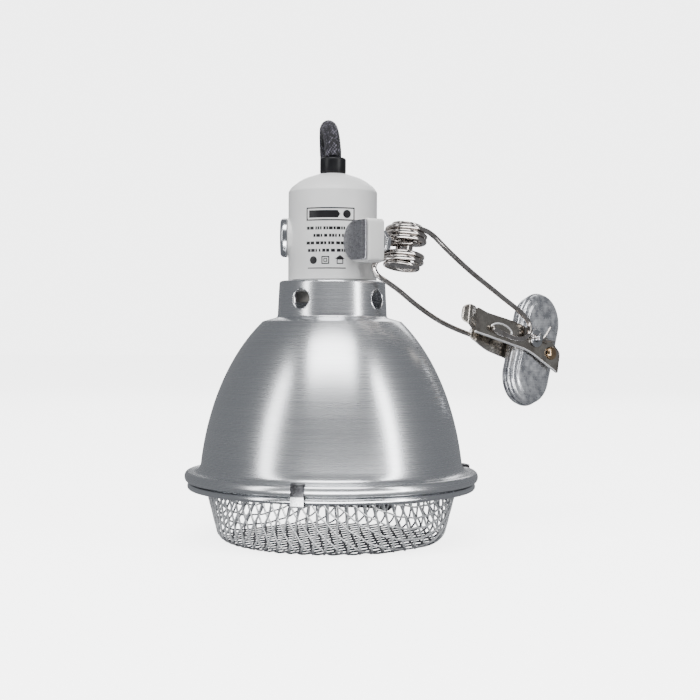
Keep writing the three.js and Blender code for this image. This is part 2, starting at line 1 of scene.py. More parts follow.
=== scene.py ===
"""Looks of a clamp-on heat lamp fixture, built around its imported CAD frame.

Sizes are in millimetres unless a name says otherwise; every mesh is made in metres in the row's frame.
The reflector's axis is Z, the fixture's front faces -Y, and the clamp stands out towards +X.
"""
import math
import random
import bmesh
import bpy
from mathutils import Matrix, Vector


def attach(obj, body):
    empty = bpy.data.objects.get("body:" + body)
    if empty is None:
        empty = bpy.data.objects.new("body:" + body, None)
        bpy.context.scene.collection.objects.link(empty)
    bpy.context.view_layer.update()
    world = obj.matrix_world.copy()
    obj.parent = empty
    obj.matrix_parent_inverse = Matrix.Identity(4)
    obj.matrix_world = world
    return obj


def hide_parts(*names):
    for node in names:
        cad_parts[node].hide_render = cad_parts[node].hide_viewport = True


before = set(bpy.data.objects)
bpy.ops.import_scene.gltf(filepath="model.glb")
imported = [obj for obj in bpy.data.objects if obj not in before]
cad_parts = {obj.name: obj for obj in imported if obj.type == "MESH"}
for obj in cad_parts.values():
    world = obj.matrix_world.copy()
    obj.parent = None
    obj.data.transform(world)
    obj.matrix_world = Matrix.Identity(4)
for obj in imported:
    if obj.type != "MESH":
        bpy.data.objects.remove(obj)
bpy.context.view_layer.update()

MM = 0.001
TAU = 2 * math.pi
SHARP = 38              # degrees between faces that leave an edge unsmoothed
WIRE_END_BEVEL = 0.25


# -------------------- points and profiles
def lerp(a, b, t):
    return a + (b - a) * t


def smoothstep(t):
    t = min(max(t, 0.0), 1.0)
    return t * t * (3 - 2 * t)


def arc(cx, cy, r, start, end, steps):
    """Points on a circle's arc between two angles in degrees."""
    angles = [math.radians(lerp(start, end, i / steps)) for i in range(steps + 1)]
    return [(cx + r * math.cos(a), cy + r * math.sin(a)) for a in angles]


def rect(x0, x1, y0, y1):
    return [(x0, y0), (x1, y0), (x1, y1), (x0, y1)]


def fillet(points, r, steps=4, closed=True):
    """Rounds each corner of a flat polyline; r is one radius, or one for each point."""
    n = len(points)
    radii = r if isinstance(r, (list, tuple)) else [r] * n
    out = []
    for i, point in enumerate(points):
        if radii[i] <= 0 or (not closed and i in (0, n - 1)):
            out.append(tuple(point))
            continue
        p, before, after = Vector(point), Vector(points[i - 1]), Vector(points[(i + 1) % n])
        reach = min(radii[i], 0.45 * (before - p).length, 0.45 * (after - p).length)
        a = p + (before - p).normalized() * reach
        b = p + (after - p).normalized() * reach
        for k in range(steps + 1):
            t = k / steps
            out.append(tuple(a * (1 - t) ** 2 + p * (2 * t * (1 - t)) + b * t ** 2))
    return out


def between(a, b, ta, tb, t):
    return a * ((tb - t) / (tb - ta)) + b * ((t - ta) / (tb - ta))


def spline(points, per_span=12):
    """Centripetal Catmull-Rom curve through 3-D points."""
    p = [Vector(q) for q in points]
    p = [2 * p[0] - p[1], *p, 2 * p[-1] - p[-2]]
    out = []
    for p0, p1, p2, p3 in zip(p, p[1:], p[2:], p[3:]):
        t1 = math.sqrt((p1 - p0).length)
        t2 = t1 + math.sqrt((p2 - p1).length)
        t3 = t2 + math.sqrt((p3 - p2).length)
        for k in range(per_span):
            t = lerp(t1, t2, k / per_span)
            a = between(p0, p1, 0, t1, t)
            b = between(p1, p2, t1, t2, t)
            c = between(p2, p3, t2, t3, t)
            out.append(between(between(a, b, 0, t2, t), between(b, c, t1, t3, t), t1, t2, t))
    out.append(p[-2])
    return out


def path_length(points):
    return sum((Vector(b) - Vector(a)).length for a, b in zip(points, points[1:]))


def even(points, step):
    """The same path with its points about one step apart."""
    points = [Vector(p) for p in points]
    total = path_length(points)
    count = max(2, round(total / step))
    out, walked, at = [points[0]], 0.0, 1
    for i in range(1, count):
        want = total * i / count
        while walked + (points[at] - points[at - 1]).length < want:
            walked += (points[at] - points[at - 1]).length
            at += 1
        span = points[at] - points[at - 1]
        out.append(points[at - 1] + span * ((want - walked) / span.length))
    out.append(points[-1])
    return out


# -------------------- mesh parts, as (vertices, faces)
def lathe(profile, segments=160):
    """A profile of (radius, height) turned about Z, closed on itself unless both ends are on the axis."""
    on_axis = profile[0][0] < 1e-6 and profile[-1][0] < 1e-6
    verts, rows = [], []
    for r, z in profile:
        if r < 1e-6:
            rows.append([len(verts)] * segments)
            verts.append((0, 0, z))
            continue
        rows.append([len(verts) + k for k in range(segments)])
        verts += [(r * math.cos(TAU * k / segments), r * math.sin(TAU * k / segments), z)
                  for k in range(segments)]
    pairs = list(zip(rows, rows[1:])) + ([] if on_axis else [(rows[-1], rows[0])])
    faces = []
    for low, high in pairs:
        for k in range(segments):
            m = (k + 1) % segments
            corners = [low[k], low[m], high[m], high[k]]
            face = [c for i, c in enumerate(corners) if c != corners[i - 1]]
            if len(face) > 2:
                faces.append(face)
    return verts, faces


def frames(path, closed=False, up=None):
    """A position, normal and side vector at each point of a path, turning as little as they can."""
    n = len(path)
    tangents = []
    for i in range(n):
        if closed:
            step = path[(i + 1) % n] - path[i - 1]
        else:
            step = path[min(i + 1, n - 1)] - path[max(i - 1, 0)]
        tangents.append(step.normalized())
    normal = Vector(up) if up else tangents[0].orthogonal()
    out = []
    for p, t in zip(path, tangents):
        normal = (normal - t * normal.dot(t)).normalized()
        out.append((p, normal, t.cross(normal)))
    return out


def skin(rows, m, closed=False):
    """Faces of a tube of rows with m points each, capped unless it closes on itself."""
    faces = [[i * m + k, i * m + (k + 1) % m, j * m + (k + 1) % m, j * m + k]
             for i in range(rows if closed else rows - 1) for j in [(i + 1) % rows] for k in range(m)]
    return faces if closed else [*faces, list(range(m))[::-1], list(range((rows - 1) * m, rows * m))]


def sweep(path, section, closed=False, up=None, scale=None):
    """A closed section of (normal, side) points drawn along a path, with flat ends."""
    path = [Vector(p) for p in path]
    verts = []
    for i, (p, normal, side) in enumerate(frames(path, closed, up)):
        k = scale[i] if scale else 1
        verts += [tuple(p + normal * (a * k) + side * (b * k)) for a, b in section]
    return verts, skin(len(path), len(section), closed)


def tube(points, r, sides, step, closed=False):
    """A round wire along a path, with its ends slightly rounded."""
    path = even(points, step)
    section = [(r * math.cos(TAU * k / sides), r * math.sin(TAU * k / sides)) for k in range(sides)]
    if closed:
        return sweep(path[:-1], section, closed=True)
    bevel = min(WIRE_END_BEVEL, r * 0.6)
    first, last = (path[1] - path[0]).normalized(), (path[-2] - path[-1]).normalized()
    path = [path[0], path[0] + first * bevel * 0.3, path[0] + first * bevel, *path[2:-2],
            path[-1] + last * bevel, path[-1] + last * bevel * 0.3, path[-1]]
    ends = [1 - bevel / r, 1 - 0.35 * bevel / r, 1]
    return sweep(path, section, scale=[*ends, *[1] * (len(path) - 6), *ends[::-1]])


def prism(outline, low, high, bevel=0.2, segments=3, cuts=(), bend=None):
    """A flat outline with a thickness and bevelled edges, sliced at cuts and then bent."""
    bm = bmesh.new()
    face = bm.faces.new([bm.verts.new((x, y, low)) for x, y in outline])
    raised = bmesh.ops.extrude_face_region(bm, geom=[face])["geom"]
    bmesh.ops.translate(bm, vec=(0, 0, high - low),
                        verts=[v for v in raised if isinstance(v, bmesh.types.BMVert)])
    bmesh.ops.recalc_face_normals(bm, faces=bm.faces)
    if bevel:
        rims = [e for e in bm.edges if abs(e.verts[0].co.z - e.verts[1].co.z) < 1e-6]
        bmesh.ops.bevel(bm, geom=rims, offset=bevel, segments=segments, profile=0.5, affect="EDGES")
    for x in cuts:
        bmesh.ops.bisect_plane(bm, geom=[*bm.verts, *bm.edges, *bm.faces], plane_co=(x, 0, 0),
                               plane_no=(1, 0, 0))
    if bend:
        for v in bm.verts:
            v.co = Vector(bend(v.co))
        bmesh.ops.triangulate(bm, faces=[f for f in bm.faces if len(f.verts) > 4])
    bm.verts.index_update()
    out = [tuple(v.co) for v in bm.verts], [[v.index for v in f.verts] for f in bm.faces]
    bm.free()
    return out


def moved(part, matrix):
    verts, faces = part
    return [tuple(matrix @ Vector(v)) for v in verts], faces


def at(x=0, y=0, z=0):
    return Matrix.Translation((x, y, z))


def turn(degrees, axis="Z"):
    return Matrix.Rotation(math.radians(degrees), 4, axis)


def basis(x, y, z, origin=(0, 0, 0)):
    matrix = Matrix((x, y, z)).transposed().to_4x4()
    matrix.translation = Vector(origin)
    return matrix


def facing(azimuth, r, z):
    """Local +Z along the fixture's radius at an azimuth counted from the front towards +X."""
    a = math.radians(azimuth)
    out, side = Vector((math.sin(a), -math.cos(a), 0)), Vector((math.cos(a), math.sin(a), 0))
    return basis(side, Vector((0, 0, 1)), out, (out.x * r, out.y * r, z))


# -------------------- objects
def linked(name, data):
    obj = bpy.data.objects.new(name, data)
    bpy.context.scene.collection.objects.link(obj)
    return obj


def mesh_object(name, parts, material, sharp=SHARP, matrix=None):
    """One object from mesh parts in millimetres."""
    verts, faces = [], []
    for part_verts, part_faces in parts:
        faces += [[i + len(verts) for i in face] for face in part_faces]
        verts += [Vector(v) for v in part_verts]
    if matrix is not None:
        verts = [matrix @ v for v in verts]
    mesh = bpy.data.meshes.new(name)
    mesh.from_pydata([tuple(v * MM) for v in verts], [], faces)
    bm = bmesh.new()
    bm.from_mesh(mesh)
    bmesh.ops.recalc_face_normals(bm, faces=bm.faces)
    bm.to_mesh(mesh)
    bm.free()
    mesh.shade_smooth()
    mesh.set_sharp_from_angle(angle=math.radians(sharp))
    obj = linked(name, mesh)
    mesh.materials.append(material)
    return obj


def make(name, parts, kind, body, replaces=(), slot=None, **shape):
    """A visible piece of one kind of material, riding on a body in place of its CAD nodes."""
    obj = mesh_object(name, parts, MAT[kind], **shape)
    if replaces:
        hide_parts(*replaces)
    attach(obj, body)
    return obj


def repaint(node, kind):
    """A hidden CAD node that keeps its shape, in one kind of material."""
    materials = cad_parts[node].data.materials
    materials.clear()
    materials.append(MAT[kind])


def carve(obj, parts, sharp=SHARP):
    """Cuts closed mesh parts, in millimetres, out of an object."""
    for i, part in enumerate(parts):
        cutter = mesh_object(f"cutter_{i}", [part], obj.data.materials[0])
        modifier = obj.modifiers.new("cut", "BOOLEAN")
        modifier.operation = "DIFFERENCE"
        modifier.solver = "EXACT"
        modifier.object = cutter
        bpy.context.view_layer.update()
        graph = bpy.context.evaluated_depsgraph_get()
        mesh = bpy.data.meshes.new_from_object(obj.evaluated_get(graph))
        obj.modifiers.clear()
        obj.data = mesh
        bpy.data.objects.remove(cutter)
    obj.data.shade_smooth()
    obj.data.set_sharp_from_angle(angle=math.radians(sharp))
    return obj


# -------------------- camera
def make_camera():
    data = bpy.data.cameras.new("camera")
    data.lens = 66.9
    data.sensor_width = 36
    camera = linked("camera", data)
    camera.location = (0, -0.65, 0.1015)
    yaw, pitch, roll = math.radians(0.79), math.radians(-0.62), math.radians(0.3)
    look = Vector((math.sin(yaw) * math.cos(pitch), math.cos(yaw) * math.cos(pitch), math.sin(pitch)))
    camera.rotation_mode = "QUATERNION"
    level = look.to_track_quat("-Z", "Y")
    camera.rotation_quaternion = level @ Matrix.Rotation(roll, 3, "Z").to_quaternion()
    bpy.context.scene.camera = camera


# -------------------- materials
class Shader:
    """A Principled material and a short way to add nodes to it."""

    def __init__(self, name, values):
        self.material = bpy.data.materials.new(name)
        self.material.use_nodes = True
        self.tree = self.material.node_tree
        self.surface = self.tree.nodes["Principled BSDF"]
        for key, value in values.items():
            self.surface.inputs[key].default_value = value
        self.coords = self.node("ShaderNodeTexCoord")

    def node(self, kind, inputs=None, **settings):
        node = self.tree.nodes.new(kind)
        for key, value in settings.items():
            setattr(node, key, value)
        for key, value in (inputs or {}).items():
            self.put(node.inputs[key], value)
        return node

    def put(self, socket, value):
        if isinstance(value, bpy.types.NodeSocket):
            self.tree.links.new(value, socket)
        else:
            socket.default_value = value

    def math(self, operation, a, b=0.0):
        return self.node("ShaderNodeMath", {0: a, 1: b}, operation=operation).outputs[0]

    def times(self, a, b):
        return self.math("MULTIPLY", a, b)

    def plus(self, a, b):
        return self.math("ADD", a, b)

    def xyz(self, vector=None):
        source = self.coords.outputs["Object"] if vector is None else vector
        split = self.node("ShaderNodeSeparateXYZ", {0: source})
        return split.outputs[0], split.outputs[1], split.outputs[2]

    def vector(self, x=0.0, y=0.0, z=0.0):
        return self.node("ShaderNodeCombineXYZ", {0: x, 1: y, 2: z}).outputs[0]

    def noise(self, scale, detail=3.0, roughness=0.5, vector=None):
        source = self.coords.outputs["Object"] if vector is None else vector
        node = self.node("ShaderNodeTexNoise",
                         {"Vector": source, "Scale": scale, "Detail": detail, "Roughness": roughness})
        return node.outputs[0]

    def cells(self, scale):
        return self.node("ShaderNodeTexVoronoi", {"Vector": self.coords.outputs["Object"], "Scale": scale})

    def ramp(self, value, stops):
        node = self.node("ShaderNodeValToRGB", {0: value})
        band = node.color_ramp
        while len(band.elements) < len(stops):
            band.elements.new(0.5)
        for element, (place, color) in zip(band.elements, stops):
            element.position = place
            element.color = (*color, 1)
        return node.outputs[0]

    def spread(self, value, low, high, to_low, to_high):
        node = self.node("ShaderNodeMapRange", {0: value, 1: low, 2: high, 3: to_low, 4: to_high})
        return node.outputs[0]

    def color(self, value):
        self.put(self.surface.inputs["Base Color"], value)

    def rough(self, value):
        self.put(self.surface.inputs["Roughness"], value)

    def bump(self, height, strength, distance):
        before = self.surface.inputs["Normal"]
        values = {"Height": height, "Strength": strength, "Distance": distance}
        if before.links:
            values["Normal"] = before.links[0].from_socket
        self.put(before, self.node("ShaderNodeBump", values).outputs[0])

    def grain(self, scale, roughness, strength):
        """Fine flecks that vary the roughness and stand out a little."""
        fleck = self.noise(scale, 2.0, 0.6)
        self.rough(self.spread(fleck, 0.35, 0.65, roughness * 0.75, roughness * 1.35))
        self.bump(fleck, strength, 0.00004)


def spun_metal(name, light, dark, roughness, lines, stretch=0.5):
    """Metal brushed round the Z axis, whose highlights draw out across the brushing."""
    s = Shader(name, {"Metallic": 1.0, "Anisotropic": stretch, "Anisotropic Rotation": 0.25})
    tangent = s.node("ShaderNodeTangent", direction_type="RADIAL", axis="Z")
    s.put(s.surface.inputs["Tangent"], tangent.outputs[0])
    x, y, z = s.xyz()
    r = s.math("SQRT", s.plus(s.times(x, x), s.times(y, y)))
    across = s.plus(s.times(z, lines), s.times(r, lines * 0.5))
    fine = s.noise(1.0, 4.0, 0.7, s.vector(s.times(x, 12), s.times(y, 12), across))
    broad = s.noise(1.0, 2.0, 0.5, s.vector(s.times(x, 9), s.times(y, 9),
                                            s.times(across, 0.09)))
    mixed = s.plus(s.times(fine, 0.62), s.times(broad, 0.38))
    s.color(s.ramp(mixed, [(0.3, dark), (0.7, light)]))
    s.rough(s.spread(fine, 0.3, 0.7, roughness - 0.03, roughness + 0.03))
    s.bump(fine, 0.05, 0.00004)
    return s.material


def bright_steel(name, light, dark, roughness, grain, strength=0.1, metallic=1.0):
    """Plated or polished steel with a cloudy tone and a fine grain."""
    s = Shader(name, {"Metallic": metallic})
    cloud = s.noise(160, 3.0, 0.6)
    s.color(s.ramp(cloud, [(0.32, dark), (0.68, light)]))
    s.grain(grain, roughness, strength)
    return s.material


def painted_light_by_height(name, low, high, z_low, z_high, roughness, metallic):
    """Bright strip metal whose tone changes between two heights above the floor, in metres: painted shade on
    the mesh's floor and a painted reflection on the clips.
    """
    s = Shader(name, {"Metallic": metallic})
    _, _, z = s.xyz()
    cloud = s.noise(160, 3.0, 0.6)
    tone = s.plus(s.spread(z, z_low, z_high, 0.1, 0.9), s.spread(cloud, 0.3, 0.7, -0.08, 0.08))
    s.color(s.ramp(tone, [(0.1, low), (0.9, high)]))
    s.grain(1200, roughness, 0.12)
    return s.material


def zinc(name):
    """Zinc plate with the small spangled flecks of its crystals."""
    s = Shader(name, {"Metallic": 1.0})
    spangle = s.cells(1500)
    fleck = s.noise(2600, 3.0, 0.7)
    tone = s.plus(s.times(spangle.outputs["Distance"], 0.5), s.times(fleck, 0.6))
    s.color(s.ramp(tone, [(0.3, (0.13, 0.13, 0.14)), (0.62, (0.42, 0.42, 0.45))]))
    s.rough(s.spread(fleck, 0.35, 0.65, 0.22, 0.5))
    s.bump(fleck, 0.35, 0.00006)
    return s.material


def pad_metal(name):
    """Satin plated pad with a fine woven emboss."""
    s = Shader(name, {"Metallic": 1.0})
    x, y, z = s.xyz()
    u = s.plus(s.times(x, 0.735), s.times(y, 0.638))
    ridge = 3600.0
    weave = s.times(s.math("SINE", s.times(s.plus(u, z), ridge)),
                   s.math("SINE", s.times(s.math("SUBTRACT", u, z), ridge)))
    cloud = s.noise(220, 4.0, 0.65)
    # The weave lightens the colour on its ridges and darkens it in its dips: painted shade in the emboss; the
    # cloud is the plate's own tone.
    tone = s.plus(s.times(weave, 0.16), cloud)
    s.color(s.ramp(tone, [(0.3, (0.5, 0.51, 0.54)), (0.7, (0.9, 0.91, 0.93))]))
    s.rough(s.spread(cloud, 0.35, 0.65, 0.22, 0.42))
    s.bump(weave, 0.3, 0.00005)
    s.bump(s.noise(900, 2.0), 0.1, 0.00005)
    return s.material


def enamel(name, tone, roughness, coat=0.0):
    """Smooth painted or moulded white, with faint mottling."""
    s = Shader(name, {"Coat Weight": coat, "Coat Roughness": 0.2})
    cloud = s.noise(90, 4.0, 0.6)
    s.color(s.ramp(cloud, [(0.3, tuple(0.94 * c for c in tone)), (0.7, tone)]))
    s.rough(s.spread(cloud, 0.3, 0.7, roughness - 0.05, roughness + 0.05))
    s.bump(s.noise(2200, 2.0), 0.06, 0.00005)
    return s.material


def dark_plastic(name):
    s = Shader(name, {"Specular IOR Level": 0.35})
    cloud = s.noise(120, 3.0)
    s.color(s.ramp(cloud, [(0.3, (0.002, 0.002, 0.003)), (0.7, (0.006, 0.006, 0.008))]))
    s.rough(s.spread(cloud, 0.3, 0.7, 0.34, 0.46))
    s.bump(s.noise(3000, 2.0), 0.12, 0.00006)
    return s.material


def braid(name, around, pitch):
    """Two sets of strands passing over and under each other; U is millimetres along and V the turn."""
    s = Shader(name, {"Sheen Weight": 0.08, "Sheen Roughness": 0.5, "Specular IOR Level": 0.3})
    u, v, _ = s.xyz(s.coords.outputs["UV"])
    turned = s.times(v, around)
    run = s.math("DIVIDE", u, pitch)
    a, b = s.plus(turned, run), s.math("SUBTRACT", turned, run)
    cell = s.plus(s.math("FLOOR", a), s.math("FLOOR", b))
    over = s.math("LESS_THAN", s.math("FLOORED_MODULO", cell, 2.0), 0.5)
    across = s.math("FRACT", s.node("ShaderNodeMix", {0: over, 2: b, 3: a}).outputs[0])
    crown = s.math("SINE", s.times(across, math.pi))
    threads = s.math("SINE", s.times(across, 5 * math.pi))
    seed = s.node("ShaderNodeTexWhiteNoise",
                  {"Vector": s.vector(s.math("FLOOR", a), s.math("FLOOR", b), 0.0)}).outputs[0]
    # Each strand's colour darkens towards its edges and between its threads: painted shade in the creases of
    # the weave; the random tone of each crossing is the braid's own fleck.
    tone = s.times(crown, s.spread(seed, 0.0, 1.0, 0.35, 1.0))
    tone = s.plus(tone, s.times(threads, 0.08))
    s.color(s.ramp(tone, [(0.15, (0.001, 0.001, 0.002)), (0.55, (0.02, 0.019, 0.025)),
                          (0.95, (0.16, 0.15, 0.19))]))
    s.rough(0.62)
    s.bump(s.plus(s.times(crown, 0.8), s.times(threads, 0.2)), 0.5, 0.0003)
    return s.material


def make_materials():
    return {
        "spun": spun_metal("spun_aluminium", (0.7, 0.71, 0.73), (0.64, 0.65, 0.67), 0.27, 5200),
        "ring": spun_metal("pressed_aluminium", (0.72, 0.73, 0.75), (0.6, 0.61, 0.63), 0.2, 1500, 0.4),
        "enamel": enamel("white_enamel", (0.74, 0.74, 0.735), 0.42),
        "plastic": enamel("white_plastic", (0.76, 0.76, 0.745), 0.5),
        # The ceramic is toned grey-cream: painted shade, its white darkened for the shade inside the collar.
        "ceramic": enamel("glazed_ceramic_painted_shade", (0.6, 0.58, 0.54), 0.3, 0.4),
        "black": dark_plastic("black_plastic"),
        "brass": bright_steel("brass", (0.85, 0.66, 0.34), (0.62, 0.44, 0.2), 0.28, 1400),
        "plated": bright_steel("plated_steel", (0.66, 0.67, 0.69), (0.48, 0.49, 0.51), 0.17, 1600, 0.12),
        "lever": bright_steel("lever_steel", (0.52, 0.49, 0.44), (0.3, 0.27, 0.24), 0.2, 1100, 0.12),
        "bronze": bright_steel("rivet_bronze", (0.5, 0.36, 0.22), (0.24, 0.16, 0.1), 0.14, 1400),
        "zinc": zinc("zinc_plate"),
        "pad": pad_metal("pad_zinc"),
        "wire": bright_steel("drawn_wire", (0.6, 0.57, 0.55), (0.36, 0.33, 0.31), 0.12, 900, 0.05),
        # The basket's floor strands, low by the floor, are painted dark: painted shade under the dome; its
        # walls stay bright.
        "mesh": painted_light_by_height("bright_mesh", (0.2, 0.2, 0.215), (0.93, 0.94, 0.95), 0.0012, 0.004, 0.24, 0.4),
        # The clips are painted bright below and near-black above: a painted reflection of the bright floor
        # and the dark surroundings.
        "clip": painted_light_by_height("clip_with_painted_reflection", (0.78, 0.79, 0.8), (0.05, 0.05, 0.055), 0.0292, 0.0298, 0.3, 0.7),
        # Near-white strip steel for the lance rims and lever lips: a painted highlight along those edges.
        "edge": bright_steel("edge_painted_highlight", (0.95, 0.95, 0.96), (0.8, 0.8, 0.82), 0.2, 1200, 0.1, 0.4),
        "braid": braid("braided_sleeve", STRANDS, BRAID_PITCH),
        "ink": dark_plastic("ink"),
    }


# -------------------- cord
CORD_R = 4.2
STRANDS = 16
BRAID_PITCH = 1.7
LEAD = [
    (0, 0, 190.7), (0, 0.2, 193.2), (-0.3, 1.4, 197), (-1, 5, 202.5), (-1.9, 10.5, 206.2), (-2.6, 17, 207.5),
    (-3, 23.5, 206.2), (-3, 29, 202.5), (-2.8, 32.7, 197), (-2.4, 34.3, 190.5), (-1.6, 34.8, 176),
    (-0.7, 34.8, 158), (0.4, 34.8, 142), (2.2, 35.8, 129), (4.8, 39.4, 115.6), (7.8, 45.4, 104.2),
    (10.8, 51.2, 94), (13.8, 56.2, 83.4), (17, 61.2, 71), (20, 65.9, 57), (22.6, 70.1, 45), (25.2, 74.1, 33),
    (27.6, 78.4, 22.4), (29.6, 84.4, 12.6), (31, 91.6, 6.8), (31.2, 99, 4.6), (29.4, 106, 4.3),
    (24.8, 112.7, 4.3),
]
CLIMB = [(-41.5, 186.5, 13.3), (-35.6, 199.3, 16.2), (-27.4, 207.9, 19.6)]
TAIL = [
    (-18, 213.8, 21.4), (-5.8, 218.6, 21.4), (6.8, 220.2, 21.4), (19.2, 218.9, 21.4), (30.7, 214.6, 21.4),
    (40.8, 207.9, 21.5), (48.6, 199.6, 21.8), (52.6, 192.6, 22.7), (54.6, 186, 23.8), (55, 181.5, 24.2),
    (55, 178, 24.2),
]
COIL_CENTRE = (11, 172.4)
TURN_RADII = [54.4, 46, 37.6, 37.6, 46, 54.4, 54.4]
TURN_HEIGHTS = (4.3, 12.7)
COIL_TURNS = 5.25


def coil_point(t):
    """The wound cord's centre after t turns: inwards on the floor, then outwards on top."""
    k = int(t)
    share = t - k
    r = lerp(TURN_RADII[k], TURN_RADII[k + 1], smoothstep((share - 0.82) / 0.18))
    z = lerp(*TURN_HEIGHTS, smoothstep((t - 2.64) / 0.2))
    angle = math.radians(-90 - 360 * t)
    return COIL_CENTRE[0] + r * math.cos(angle), COIL_CENTRE[1] + r * math.sin(angle), z


def weave_height(a, b):
    """How far the upper strand stands out at a point of the braid, from 0 to 1."""
    over = (math.floor(a) + math.floor(b)) % 2 == 0
    across, along = (a % 1, b % 1) if over else (b % 1, a % 1)
    return math.sin(math.pi * across) * (0.7 + 0.3 * math.sin(math.pi * along))


def make_cord():
    wound = [coil_point(COIL_TURNS * i / 160) for i in range(161)]
    joining = [(18.4, 116.6, 4.3)]
    route = even(spline([*LEAD, *joining, *wound, *CLIMB, *TAIL], 6), 0.55)
    sides = 36
    verts, uvs = [], []
    walked = 0.0
    for i, (p, normal, side) in enumerate(frames(route, up=(1, 0, 0))):
        walked += (route[i] - route[i - 1]).length if i else 0.0
        for k in range(sides):
            turned, run = STRANDS * k / sides, walked / BRAID_PITCH
            r = CORD_R - 0.26 + 0.26 * weave_height(turned + run, turned - run)
            a = TAU * k / sides
            verts.append(tuple(p + normal * (r * math.cos(a)) + side * (r * math.sin(a))))
        uvs.append(walked)
    cord = make("braided_lead", [(verts, skin(len(route), sides))], "braid", "fixture",
                ["cord_lead", "cord_coil", "cord_tail"], sharp=180)
    layer = cord.data.uv_layers.new(name="length_and_turn")
    for polygon in cord.data.polygons:
        columns = [v % sides for v in polygon.vertices]
        wraps = max(columns) - min(columns) > sides / 2
        for loop, vertex, column in zip(polygon.loop_indices, polygon.vertices, columns):
            full = column + sides if wraps and column < sides / 2 else column
            layer.data[loop].uv = (uvs[vertex // sides], full / sides)
    return cord, [tuple(p * MM) for p in route]


def make_plug():
    """Plain two-pin plug with a ribbed cord relief, lying on its flat side."""
    x, y, z = TAIL[-1]
    lying = at(x, y - 0.3, z) @ turn(90, "X") @ turn(90)
    relief = [(0, 0), (4.7, 0)]
    for i in range(5):
        base = 0.6 + i * 2.3
        grow = 4.7 + 0.18 * i
        relief += [(grow, base), (grow + 0.5, base + 0.4), (grow + 0.5, base + 1.4), (grow, base + 1.8)]
    relief += [(5.6, 12.6), (0, 12.6)]
    outline = fillet([(-7, -9), (-4, -13), (4, -13), (7, -9), (7, 9), (4, 13), (-4, 13), (-7, 9)], 2.4, 5)
    body = prism(outline, 12, 38, 1.4, 5)
    make("plug_shell", [lathe(fillet(relief, 0.2, 2, False), 64), body], "black", "fixture", ["plug_body"],
         matrix=lying)
    for i, side in enumerate((-9.5, 9.5)):
        profile = [(0, 31), (2.4, 31), (2.4, 55.4), *arc(1.2, 55.4, 1.2, 0, 90, 6), (0, 56.6)]
        make(f"plug_prong_{i + 1}", [lathe(profile, 32)], "brass", "fixture", [f"plug_pin_{i + 1}"],
             matrix=lying @ at(0, side, 0))


def make_tie():
    """Plastic band bent over the coil, with a small lock block on top."""
    inner, outer, top = 32.1, 59.4, 17.7
    corners = [(inner, 0, 1.2), (inner, 0, top), (outer, 0, top), (outer, 0, 1.2)]
    path = fillet([(x, z) for x, _, z in corners], 2.4, 6, False)
    section = [(0.5, -5), (0.5, 5), (-0.5, 5), (-0.5, -5)]
    section = fillet(section, 0.3, 2)
    band = sweep([(x, 0, z) for x, z in path], section, up=(-1, 0, 0))
    ridges = [prism(fillet(rect(x, x + 0.9, -4, 4), 0.3, 2), top, top + 0.9, 0.2, 2)
              for x in (40, 42.4, 44.8)]
    place = at(*COIL_CENTRE, 0) @ turn(200)
    make("coil_tie", [band, *ridges], "black", "fixture", ["cord_tie"], matrix=place)


# -------------------- reflector
COLLAR = ((26.4, 128.7), (27.3, 110.8))
VENTS = (-34.5, 55.5, 145.5, 235.5)
VENT_Z = 119.4


def bowl_radius(z, inset=0.0):
    return (66 - inset) * math.sqrt(max(0.0, 1 - ((z - 20) / (104 - inset)) ** 2))


def bowl_profile(inset, top, count):
    heights = [lerp(38, top, math.sin(i / count * math.pi / 2)) for i in range(count + 1)]
    return [(bowl_radius(z, inset), z) for z in heights]


def collar_radius(z):
    (top_r, top_z), (low_r, low_z) = COLLAR
    return lerp(top_r, low_r, (top_z - z) / (top_z - low_z))


def vent_rim(azimuth):
    """Fine rolled edge round a vent hole."""
    frame_at = facing(azimuth, 0, VENT_Z)
    path = []
    for i in range(49):
        a = TAU * i / 48
        x, y = 5.05 * math.cos(a), 5.05 * math.sin(a)
        path.append(frame_at @ Vector((x, y, math.sqrt(collar_radius(VENT_Z + y) ** 2 - x * x) - 0.1)))
    return tube(path, 0.38, 10, 0.5, closed=True)


def make_reflector():
    collar = fillet([(19, 127.9), (19, 128.7), COLLAR[0], COLLAR[1], (31.6, 109.0)], [0, 0, 1.6, 0.9, 0], 6,
                    False)
    outside = bowl_profile(0, 108.6, 56)[::-1]
    bead = [(71 + 2 * math.cos(a), 32 + 2.65 * math.sin(a))
            for a in (math.radians(lerp(124, -212, i / 40)) for i in range(41))]
    ledge = fillet([outside[-1], (65.75, 35.9), (67.4, 34.5), bead[0]], [0, 0.8, 0.9, 0], 4, False)[1:-1]
    back = fillet([bead[-1], (66.8, 33.6), (64.9, 35.4), (64.2, 38)], [0, 0.8, 0.8, 0], 3, False)[1:-1]
    inside = bowl_profile(0.8, 107.8, 48)
    lining = fillet([(30, 108.4), (26.5, 110), (25.6, 127.2), (24.6, 127.9), (20, 127.9)],
                    [0, 0.8, 0.8, 0.4, 0], 3, False)
    profile = [*collar[:-1], *outside, *ledge, *bead, *back, *inside, *lining[1:-1]]
    dome = make("spun_dome", [lathe(profile, 224)], "spun", "fixture", ["reflector"], sharp=50)
    carve(dome, [moved(lathe(rect(0, 5, 20, 32), 48), facing(a, 0, VENT_Z)) for a in VENTS],
          50)
    make("vent_rims", [vent_rim(a) for a in VENTS], "ring", "fixture")


# -------------------- housing, gland and lampholder
HOUSING_R = 22.1
HOUSING_SCREW_Z = 132.3
CAP_PLACE = facing(-90, 0, 150.3)


